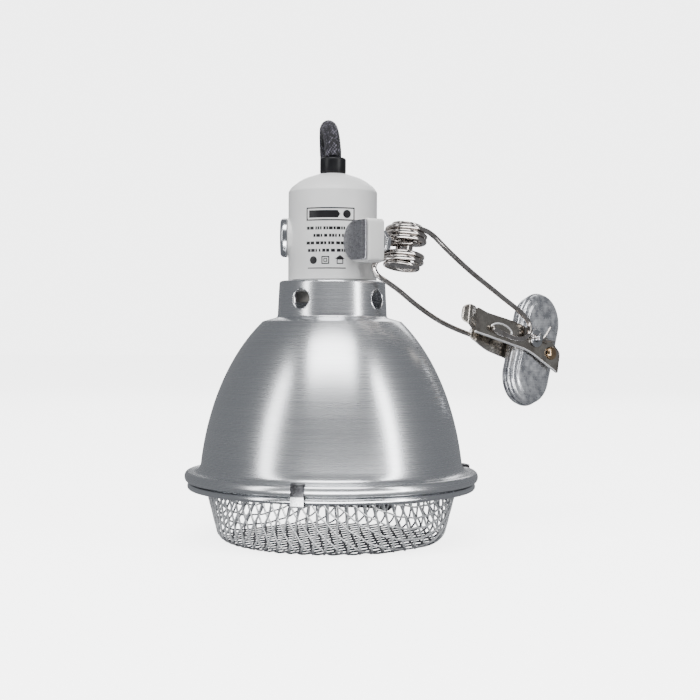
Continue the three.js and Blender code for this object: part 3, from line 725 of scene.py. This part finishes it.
def make_housing():
    outline = [(5.5, 182), (7, 182), (15.2, 179.3), (20.6, 175.2), (HOUSING_R, 172.9), (HOUSING_R, 129),
               (20.9, 129), (20.9, 172.6), (19.4, 174.4), (14.8, 177.9), (6.8, 180.7), (5.5, 180.7)]
    radii = [0.2, 1.2, 6, 1.0, 0.5, 0.45, 0.2, 1, 1, 3, 1, 0.1]
    seat = moved(lathe(fillet(rect(2, 9.95, 19.3, 22.3), [0, 0, 0.3, 0], 3), 72),
                 CAP_PLACE)
    make("housing_shell", [lathe(fillet(outline, radii, 6), 160), seat], "enamel", "fixture",
         ["lampholder_housing"], sharp=30)


def make_gland():
    profile = [(4.35, 187), (4.35, 189.2), (4.8, 190.1), (5.3, 190.2), *arc(5.3, 189.0, 1.2, 88, 0, 8),
               (6.5, 182.9), (6.1, 182.35), (5.1, 182.3), (5.1, 175.8), (3.4, 175.8), (3.4, 187)]
    make("gland_body", [lathe(profile, 96)], "black", "fixture", ["cord_gland"])
    repaint("gland_lock_nut", "black")


def make_lampholder():
    ceramic = fillet([(0, 148.6), (4.9, 148.6), (4.9, 147), (14.8, 147), (14.8, 118), (18.4, 118),
                      (18.4, 129), (20.5, 129), (20.5, 134.6), (18.4, 135.2), (18.4, 150), (12, 156),
                      (0, 156)],
                     [0, 0.3, 0.3, 0.6, 0.8, 0.8, 0.3, 0.6, 0.6, 0.4, 1.5, 1.5, 0], 4, False)
    make("holder_ceramic", [lathe(ceramic, 96)], "ceramic", "fixture", ["ceramic_lampholder"])
    count = 96
    inside = [(13.6 - 0.33 * math.cos(TAU * 4 * i / count), 119.6 + 24 * i / count) for i in range(count + 1)]
    outside = [(r + 0.5, z) for r, z in inside[::-1]]
    shell = [*inside, (13.2, 145.9), (5.2, 145.9), (5.2, 146.7), (14.1, 146.7), *outside]
    make("holder_thread", [lathe(shell, 96)], "brass", "fixture", ["screw_shell"])
    contact = fillet([(0, 143.2), (3.4, 143.2), (4.2, 144.2), (4.2, 146.8), (0, 146.8)], 0.5, 4, False)
    make("sprung_contact", [lathe(contact, 48)], "brass", "contact", ["centre_contact"])
    rim = fillet([(18.8, 127.5), (24.6, 127.5), (24.6, 124.2), (22.4, 123), (18.8, 123)], 0.4, 3)
    ring = make("retaining_ring", [lathe(rim, 120)], "plastic", "fixture", ["shade_ring"])
    notch = prism(rect(-2, 2, -3, 3), -1.4, 2, 0)
    carve(ring, [moved(notch, facing(a, 24.8, 126)) for a in range(0, 360, 60)])
    repaint("terminal_screw_1", "brass")
    repaint("terminal_screw_2", "brass")
    for i, azimuth in enumerate((150, 210)):
        screw = [(0, 20.8), (1.5, 20.8), (1.5, 22.4), (2.8, 22.4), (2.8, 23), (2.5, 23.5), (1.8, 23.8),
                 (0, 23.8)]
        head = make(f"housing_screw_head_{i + 1}", [lathe(screw, 40)], "plated", "fixture",
                    [f"housing_screw_{i + 1}"], matrix=facing(azimuth, 0, HOUSING_SCREW_Z))
        arms = [prism(rect(-1.6, 1.6, -0.3, 0.3), 23, 25, 0), prism(rect(-0.3, 0.3, -1.6, 1.6), 23, 25, 0)]
        carve(head, [moved(arm, facing(azimuth, 0, HOUSING_SCREW_Z)) for arm in arms])


def make_side_cap():
    base, top = 22.6, 26.0
    cap = fillet([(2.1, base), (9.75, base), (9.75, top - 1.2), (8.7, top), (4.7, top), (4, top - 1.6),
                  (2.1, top - 1.6)],
                 [0, 0.3, 0.9, 0.8, 0.4, 0.3, 0], 4)
    make("cap_pressing", [lathe(cap, 96)], "plated", "fixture", ["side_cap"], matrix=CAP_PLACE)
    screw = fillet([(0, 19), (1.5, 19), (1.5, top - 1.3), (3.4, top - 1.3), (3.4, top - 0.6),
                    (2.4, top + 0.15), (0, top + 0.2)],
                   [0, 0, 0, 0.2, 0.4, 0.5, 0], 4, False)
    head = make("cap_screw_head", [lathe(screw, 48)], "zinc", "fixture", ["side_cap_screw"],
                matrix=CAP_PLACE)
    slot = prism(rect(-4, 4, -0.4, 0.4), top - 0.5, top + 1, 0)
    carve(head, [moved(slot, CAP_PLACE @ turn(35))])


# -------------------- printing on the housing
def print_patch(corners):
    """A flat printed shape of (x, z) corners laid on the housing's front as a skin of ink."""
    cuts = [x + 0.5 for x in range(-16, 16)]

    def lay(p):
        r = HOUSING_R + p.z
        angle = p.x / HOUSING_R
        return r * math.sin(angle), -r * math.cos(angle), p.y

    return prism(corners, -0.05, 0.06, 0, cuts=cuts, bend=lay)


def print_frame(x0, x1, z0, z1, width):
    return [print_patch(c) for c in (
        rect(x0, x1, z0, z0 + width),
        rect(x0, x1, z1 - width, z1),
        rect(x0, x0 + width, z0 + width, z1 - width),
        rect(x1 - width, x1, z0 + width, z1 - width))]


def make_printing():
    """A plain rating panel: a bar in a box, rows of dashes, and two simple pictures."""
    rng = random.Random(7)
    shapes = print_frame(-13.5, 11, 157.2, 163.6, 0.6)
    shapes.append(print_patch([(-12, 158.6), (2.4, 158.6), (3.6, 160.4), (2.4, 162.2), (-12, 162.2)]))
    shapes.append(print_patch(arc(7, 160.4, 2, 0, 345, 23)))
    for z, left, right in ((153.6, -13.2, 10), (150, -9.6, 8), (146.4, -13.4, 9.4), (142.8, -12.6, 9)):
        x = left
        while x < right - 0.6:
            width = rng.choice((0.8, 1.1, 1.5, 1.9))
            shapes.append(print_patch(rect(x, x + width, z - 0.72, z + 0.72)))
            x += width + rng.choice((0.35, 0.4, 0.9))
    shapes += print_frame(-5.4, -1.6, 136.2, 140, 0.5) + print_frame(-4.4, -2.6, 137.2, 139, 0.4)
    shapes += print_frame(2, 5.2, 136.2, 138.8, 0.45)
    shapes.append(print_patch([(1.2, 138.7), (6, 138.7), (3.6, 140.6)]))
    shapes.append(print_patch(arc(-9.6, 138.1, 1.9, 0, 345, 23)))
    shapes.append(print_patch(rect(-12.6, 6.5, 134, 134.5)))
    make("rating_print", shapes, "ink", "fixture")


# -------------------- swivel block, plate and eye stud
BLOCK = {"centre": 32.9, "z": 146.9, "r": 10.3, "outer": 41.4, "back": -0.5, "front": 9.2}
STUD = (36.0, 146.3)
BLOCK_AZIMUTH = math.radians(36)
BLOCK_FRAME = basis((math.sin(BLOCK_AZIMUTH), -math.cos(BLOCK_AZIMUTH), 0), (0, 0, 1),
                    (-math.cos(BLOCK_AZIMUTH), -math.sin(BLOCK_AZIMUTH), 0))


def make_block():
    centre, z, r, outer = (BLOCK[k] for k in ("centre", "z", "r", "outer"))
    outline = [*arc(centre, z, r, 90, 270, 40), *arc(outer - 2, z - r + 2, 2, -90, 0, 6),
               *arc(outer - 2, z + r - 2, 2, 0, 90, 6)]
    body = prism(outline, BLOCK["back"], BLOCK["front"], 0.8, 4)
    neck = prism(rect(20.95, centre, z - 6.5, z + 6.5), 1, 7.5, 0.6, 3)
    make("pivot_block", [body, neck], "plastic", "fixture", ["swivel_block"], matrix=BLOCK_FRAME)

    crease, seat = 37.1, BLOCK["front"] + 0.3

    def fold(p):
        t = max(0.0, (p.x - crease) / (outer - crease))
        return p.x, p.y, p.z + t * lerp(0.4, 0.6, p.z - seat)

    sheet = [*arc(centre, z, r - 0.5, 98, 250, 36),
             *fillet([(centre, z - 10), (outer - 0.2, z - 9), (outer - 0.2, z + 9.7), (centre, z + 10)],
                     [0, 1.2, 1.2, 0], 5, False)[1:-1]]
    make("block_face_plate", [prism(sheet, seat, seat + 1, 0.28, 3, [crease - 0.2, crease, crease + 0.3],
                                    fold)], "zinc", "fixture", ["block_plate"], matrix=BLOCK_FRAME, sharp=30)


def make_stud():
    out, z = STUD
    eye = [(out + 5.65 * math.cos(TAU * i / 64), z, -17.2 + 5.65 * math.sin(TAU * i / 64)) for i in range(65)]
    shank = lathe(fillet(rect(0, 1.6, -11.6, 6.5), [0, 0.3, 0.4, 0], 3, False), 32)
    make("eye_bolt", [tube(eye, 0.95, 16, 0.6, closed=True), moved(shank, at(out, z, 0))], "wire", "stud",
         ["eye_stud"], matrix=BLOCK_FRAME)
    washer = lathe(fillet(rect(1.9, 6, -1.6, -0.8), 0.25, 3), 64)
    make("plain_washer", [moved(washer, at(out, z, 0))], "plated", "stud", ["stud_washer"],
         matrix=BLOCK_FRAME)
    hexagon = arc(0, 0, 10 / math.sqrt(3), 20, 320, 5)
    nut = make("hex_nut", [moved(prism(hexagon, -4.9, -1.9, 0.45, 4), at(out, z, 0))], "plated", "stud",
               ["stud_nut"], matrix=BLOCK_FRAME)
    carve(nut, [moved(lathe(rect(0, 1.9, -8, 1), 32), BLOCK_FRAME @ at(out, z, 0))])


# -------------------- spring clamp
CLAMP_CENTRE = (35.1, -18.95, 147.2)
CLAMP_LEAN, CLAMP_TILT, CLAMP_TURN = 8.5, 10.5, 42
WIRE_R = 1.25
COIL_R = 9.25
PITCH = 2.55


def clamp_frame():
    """Local X runs along the legs, Y up the coil's axis and Z out of the front pad."""
    up = Vector((math.tan(math.radians(CLAMP_LEAN)), math.tan(math.radians(CLAMP_TILT)), 1)).normalized()
    across = (Vector((1, 0, 0)) - up * up.x).normalized()
    turned = math.radians(CLAMP_TURN)
    along = across * math.cos(turned) + up.cross(across) * math.sin(turned)
    return basis(along, up, along.cross(up), CLAMP_CENTRE)


CLAMP = clamp_frame()


def coil_arc(bottom, start, low, high):
    """Points of a helix about local Y, between two angles in degrees counted from its start."""
    count = round(abs(high - low) / 2)
    out = []
    for i in range(count + 1):
        degrees = lerp(low, high, i / count)
        a = math.radians(start + degrees)
        out.append((COIL_R * math.sin(a), bottom + PITCH * degrees / 360, COIL_R * math.cos(a)))
    return out


UPPER = (5.8 - 2.25 * PITCH, -90)
LOWER = (-6.3 - 1.6 * PITCH, 243)
LEGS = {
    "front": [(0.4, 5.8, 9.25), (5, 5.8, 9.35), (10, 4.8, 9.3), (20, 1.1, 9.2), (37.6, -4.6, 9.1),
              (62, -10.9, 9), (83, -16.6, 8.9), (88, -20, 8.9), (88.6, -24.6, 8.9), (84.6, -28.4, 8.9),
              (75.3, -29.8, 8.7)],
    "rear": [(-9.4, -11.6, -7.8), (-9.9, -14.6, -8.6), (-6.4, -17.6, -9.2), (0, -19, -9.4),
             (8.1, -20.9, -9.3), (23, -25.4, -9.2), (38.5, -28.9, -9.1), (50.5, -30.2, -9),
             (62, -30.6, -8.9), (74, -30.4, -8.8)],
}


def make_spring():
    spool = fillet([(0, -13), (9, -13), (9, -11.7), (4.2, -11.7), (4.2, 7.4), (7.6, 7.4), (7.6, 8.4),
                    (0, 8.4)],
                   [0, 0.5, 0.4, 0.3, 0.3, 0.3, 0.4, 0], 3, False)
    spool[0] = (0, -12.1)
    spool.insert(1, (6.6, -12.1))
    spool.insert(2, (7.6, -12.9))
    make("coil_core", [moved(lathe(spool, 96), turn(-90, "X"))], "wire", "spring", ["spring_spool"],
         matrix=CLAMP)
    upper = coil_arc(*UPPER, 0, 790)
    lower = coil_arc(*LOWER, 20, 576)
    make("coil_turns_upper", [tube(upper, WIRE_R, 24, 0.32)], "wire", "spring", ["spring_coil_upper"],
         matrix=CLAMP)
    make("coil_turns_lower", [tube(lower, WIRE_R, 24, 0.32)], "wire", "spring", ["spring_coil_lower"],
         matrix=CLAMP)


LEVER_BENDS = {
    "front": [(35.4, 9.4), (36.6, 9.4), (39.4, 11.2), (48, 7), (50, 5.6), (97, 5.6), (118, 6.6)],
    "rear": [(61, 6.9), (63, 6.7), (64.6, 5.6), (97, 5.6), (118, 6.6)],
}
LEVER_OUTLINES = {
    "front": ([(35.8, -30.8), (46, -32.4), (49.6, -33), (93, -33), (117.4, -40), (117.4, -28.4), (108, -23),
               (91, -21.4), (78, -20.4), (57.6, -21), (50.6, -20), (48, -21.8), (46, -20.8), (35.8, -22)],
              [3.4, 2, 1, 6, 1.6, 2.4, 5, 8, 8, 4, 1.4, 1.4, 1.6, 4]),
    "rear": ([(62, -31), (66, -32.6), (74, -35), (93, -36), (117.4, -38), (117.4, -27), (108, -23),
              (91, -21.4), (78, -20.4), (64, -21)], [1.4, 2, 4, 6, 1.6, 2.4, 5, 8, 8, 1.8]),
}
PIN, RIVET, PAD = (97, -25.4), (110, -30.4), (102, -29.6)


def follow(line, x):
    """Height of a polyline at x."""
    for (x0, z0), (x1, z1) in zip(line, line[1:]):
        if x <= x1:
            return lerp(z0, z1, (x - x0) / (x1 - x0))
    return line[-1][1]


def make_lever(name, side, drop):
    line = fillet(LEVER_BENDS[name], 1.4, 6, False)
    outline = fillet(*LEVER_OUTLINES[name], 5)
    cuts = [x for x, _ in line] + list(range(40, 118, 3))

    def bend(p):
        return p.x, p.y - drop, side * (follow(line, p.x) + p.z)

    blade = prism(outline, 0, 1, 0.24, 2, cuts, bend)
    lower = [p for p in outline if p[1] < -30 and 50 < p[0] < 116]
    lower.sort()
    lip = tube([(x, y - drop + 0.35, side * (follow(line, x) + 0.75)) for x, y in lower], 0.55, 10, 1.2)
    lever = make(f"lever_plate_{name}", [blade], "lever", f"jaw_{name}", [f"lever_{name}"], matrix=CLAMP)
    holes = [moved(lathe(rect(0, 1.9, 0, 12), 32),
                   CLAMP @ at(x, y - drop, 0) @ Matrix.Diagonal((1, 1, side, 1)))
             for x, y in (PIN, RIVET)]
    carve(lever, holes)
    almond = [(70 + 8 * math.cos(a), -27.2 - drop + 2.9 * math.sin(a) * abs(math.sin(a)) ** 0.35)
              for a in (TAU * i / 60 for i in range(61))]
    # The lance rim and the lever's lower lip are coloured as painted highlights along their edges.
    rim = tube([(x, y, side * (follow(line, x) + 1)) for x, y in almond], 0.5, 12, 0.5, closed=True)
    make(f"lance_rim_{name}", [rim], "edge", f"jaw_{name}", matrix=CLAMP)
    make(f"lever_lip_{name}", [lip], "edge", f"jaw_{name}", matrix=CLAMP)


def oval(profile, straight, segments=72):
    """A turned dish whose halves are drawn apart along Y."""
    verts, faces = lathe(profile, segments)
    shifted = []
    for x, y, z in verts:
        shifted.append((x, y + (straight if y > 1e-6 else -straight if y < -1e-6 else 0.0), z))
    return shifted, faces


def make_pad(name, side, drop):
    skirt = [(0, 4.6), (11.0, 4.6), (11.7, 3.9), (14.2, 3.8), (15.1, 3.2), (15.2, 1.5), (15.8, 1.3),
             (15.8, 0.2), (14.4, 0.2), (14.0, 2.6), (12, 2.9), (0, 3.3)]
    radii = [0, 0.4, 0.3, 0.5, 0.4, 0.2, 0.2, 0.25, 0.3, 0.4, 0.5, 0]
    dish = oval(fillet(skirt, radii, 3, False), 14.5, 96)
    place = Matrix.Diagonal((1, 1, side, 1)) @ at(PAD[0], PAD[1] - drop / 2, 0) @ turn(-6)
    make(f"grip_pad_{name}", [moved(dish, place)], "pad", f"jaw_{name}", [f"pad_{name}"], matrix=CLAMP,
         sharp=25)


def make_fasteners(name, side, drop):
    body = f"jaw_{name}"
    mirror = Matrix.Diagonal((1, 1, side, 1))
    at_pin = CLAMP @ mirror @ at(PIN[0], PIN[1] - drop, 0)
    pin = fillet([(0, 2.2), (3.2, 2.2), (3.2, 3.2), (1.6, 3.2), (1.6, 10.4), (0, 10.4)],
                 [0, 0.2, 0.2, 0, 0.4, 0], 3, False)
    make(f"clevis_pin_{name}", [lathe(pin, 40)], "plated", body, [f"pad_pin_{name}"], matrix=at_pin)
    washer = lathe(fillet(rect(1.9, 4.6, 6.9, 7.6), 0.2, 3), 56)
    make(f"washer_{name}", [washer], "plated", body, [f"pin_washer_{name}"], matrix=at_pin)
    eye = [(-2.6 - 1.1 + 1.1 * math.cos(a), 1.1 * math.sin(a), 8.8)
           for a in (TAU * i / 24 for i in range(25))]
    prongs = [tube(spline([(-2.6, 0, 8.8), (0, 0.2, 8.8), (2.6, 0.3, 8.9), (4.4, 2.6, 9.4), (7.4, 8.2, 9.8)],
                          8), 0.6, 12, 0.5),
              tube(spline([(-2.6, 0, 8.8), (0, -0.2, 8.8), (2.6, 0, 8.9), (5.6, 0.4, 9.3), (12, 0.9, 9.8)],
                          8), 0.6, 12, 0.5)]
    make(f"cotter_{name}", [tube(eye, 0.5, 10, 0.4, closed=True), *prongs], "wire", body,
         [f"split_pin_{name}"], matrix=at_pin, slot="plated_steel")
    rivet = fillet([(0, 2.4), (2.8, 2.4), (2.8, 3.2), (1.6, 3.2), (1.6, 7.4), (3.6, 7.4), (3.2, 8.7),
                    (1.8, 9.3), (0, 9.4)],
                   [0, 0.2, 0.2, 0, 0, 0.3, 0.6, 0.8, 0], 4, False)
    make(f"domed_rivet_{name}", [lathe(rivet, 48)], "bronze", body, [f"pad_rivet_{name}"],
         matrix=CLAMP @ mirror @ at(RIVET[0], RIVET[1] - drop, 0))


def make_jaws():
    lead_in = {"front": coil_arc(*UPPER, 765, 808), "rear": coil_arc(*LOWER, 45, 2)}
    tail = {"front": [(68, -29.2, 8.5), (61, -28.4, 8.1)], "rear": []}
    for name, side, drop in (("front", 1, 0), ("rear", -1, 1.6)):
        route = [*lead_in[name], *spline([*LEGS[name], *tail[name]], 40)]
        make(f"wire_leg_{name}", [tube(route, WIRE_R + 0.02, 24, 0.6)], "wire", f"jaw_{name}",
             [f"leg_{name}"], matrix=CLAMP)
        make_lever(name, side, drop)
        make_pad(name, side, drop)
        make_fasteners(name, side, drop)


# -------------------- guard
GUARD_FLOOR_R, GUARD_CORNER = 50.4, 7.0
STRAND = 0.5


def basket_point(x, y):
    """A point of the flat sheet pressed into the basket: out along the floor, corner and wall."""
    s, angle = math.hypot(x, y), math.atan2(y, x)
    bend = GUARD_CORNER - STRAND
    if s <= GUARD_FLOOR_R:
        r, z = s, STRAND
    else:
        swept = (s - GUARD_FLOOR_R) / bend
        if swept <= math.radians(78):
            r, z = GUARD_FLOOR_R + bend * math.sin(swept), GUARD_CORNER - bend * math.cos(swept)
        else:
            up = s - GUARD_FLOOR_R - bend * math.radians(78)
            r = GUARD_FLOOR_R + bend * math.sin(math.radians(78)) + up * 0.2465
            z = GUARD_CORNER - bend * math.cos(math.radians(78)) + up * 0.969
    return r * math.cos(angle), r * math.sin(angle), z


def make_basket():
    """Expanded sheet: two families of slanting strands that meet in long diamonds."""
    width, height, reach = 6.0, 13.0, 79.6
    rng = random.Random(3)
    lean = math.radians(-22)
    across = Vector((1 / width, 1 / height))
    spacing = 1 / across.length
    section = fillet(rect(-0.42, 0.42, -0.5, 0.5), 0.2, 1)
    strands = []
    for family in (1, -1):
        normal = Vector((across.x, family * across.y)).normalized()
        run = Vector((-normal.y, normal.x))
        for k in range(-15, 16):
            shift = k * spacing
            if abs(shift) >= reach - 1:
                continue
            half = math.sqrt(reach ** 2 - shift ** 2)
            count = max(4, round(2 * half / 1.6))
            path = []
            wobble = rng.uniform(0, TAU)
            for i in range(count + 1):
                t = lerp(-half, half, i / count)
                wave = 0.22 * math.sin(t * TAU / 14 + wobble) + rng.uniform(-0.05, 0.05)
                p = normal * (shift + wave) + run * t
                x = p.x * math.cos(lean) - p.y * math.sin(lean)
                y = p.x * math.sin(lean) + p.y * math.cos(lean)
                path.append(Vector(basket_point(x, y)))
            strands.append(sweep(path, section, up=(0, 0, 1)))
    make("mesh_basket", strands, "mesh", "guard", ["guard_basket"], sharp=50)


def make_guard():
    lip = fillet([(61.6, 28.9), (70.8, 28.9), (71.6, 28.1), (71.6, 26.6), (70.8, 25.8), (69.6, 25.8),
                  (69.6, 27.9), (61.6, 27.9)],
                 [0.2, 0.6, 0.7, 0.7, 0.6, 0.3, 0.4, 0.2], 4)
    make("guard_lip", [lathe(lip, 200)], "ring", "guard", ["guard_ring"])
    for i, azimuth in enumerate((-12, 108, 228)):
        hook = fillet([(70, 25.5), (73.3, 25.5), (73.3, 34.95), (70.4, 34.95), (70.4, 35.75), (74.1, 35.75),
                       (74.1, 24.7), (70, 24.7)],
                      [0.1, 0.3, 0.7, 0.2, 0.2, 1.2, 1.0, 0.1], 4)
        upright = moved(prism(hook, -3.1, 3.1, 0.2, 2), turn(90, "X"))
        make(f"spring_clip_{i + 1}", [upright], "clip", "guard", [f"guard_clip_{i + 1}"],
             matrix=turn(azimuth - 90))
    make_basket()


# -------------------- studio
def studio_surface(name, part, level, glow):
    """A glowing grey stage piece behind the fixture, which neither lights it nor shows in its metal."""
    color = (level,) * 3
    shader = Shader(name, {"Emission Strength": glow, "Emission Color": (*color, 1), "Roughness": 0.9})
    tone = shader.noise(3, 2.0)
    shader.color(shader.ramp(tone, [(0.3, tuple(0.985 * c for c in color)), (0.7, color)]))
    verts, faces = part
    mesh = bpy.data.meshes.new(name)
    mesh.from_pydata(verts, [], faces)
    mesh.shade_smooth()
    mesh.materials.append(shader.material)
    surface = linked(name, mesh)
    surface.visible_glossy = False
    surface.visible_diffuse = False
    shader.material.cycles.emission_sampling = "NONE"


def area_light(name, place, target, size, power):
    data = bpy.data.lights.new(name, "AREA")
    data.shape = "RECTANGLE"
    data.size, data.size_y = size
    data.energy = power
    lamp = linked(name, data)
    lamp.location = place
    lamp.rotation_mode = "QUATERNION"
    lamp.rotation_quaternion = (Vector(target) - Vector(place)).to_track_quat("-Z", "Y")
    return lamp


def make_studio():
    reach, below = 6.0, -0.0002
    floor = [(x, y, below) for x, y in rect(-reach, reach, -reach, reach)]
    studio_surface("floor", (floor, [(0, 1, 2, 3)]), 0.9, 4.6)
    rows, segments = 24, 64
    slopes = [math.radians(lerp(-2, 89, i / rows)) for i in range(rows + 1)]
    dome, faces = lathe([(reach * math.cos(a), reach * math.sin(a)) for a in slopes], segments)
    shell = [f for f in faces if not {0, rows} <= {v // segments for v in f}]
    studio_surface("backdrop", (dome, shell), 1.0, 4.2)
    world = bpy.data.worlds.new("studio")
    bpy.context.scene.world = world
    world.use_nodes = True
    background = world.node_tree.nodes["Background"]
    background.inputs["Color"].default_value = (0.92, 0.95, 1.0, 1)
    background.inputs["Strength"].default_value = 0.27
    middle = (0, 0, 0.09)
    area_light("overhead", (0, -0.6, 1.2), middle, (0.9, 0.6), 15)
    area_light("left_strip", (-0.95, -0.62, 0.4), middle, (0.22, 1.3), 6)
    area_light("right_strip", (0.95, -0.66, 0.4), middle, (0.16, 1.3), 8)
    area_light("back_light", (0.2, 1.3, 0.9), middle, (1.2, 0.7), 8)
    soft = area_light("soft_front", (-0.5, -1.6, 1.1), middle, (1.6, 1.2), 30)
    soft.visible_glossy = False
    card = area_light("floor_card", (0.09, -0.22, 0.003), (0.09, -0.22, 1), (0.36, 0.2), 2.5)
    card.visible_camera = False
    card.visible_diffuse = False


# -------------------- the whole fixture
MAT = make_materials()
make_camera()
lead, route = make_cord()
make_plug()
make_tie()
make_reflector()
make_housing()
make_gland()
make_lampholder()
make_side_cap()
make_printing()
make_block()
make_stud()
make_spring()
make_jaws()
make_guard()
make_studio()
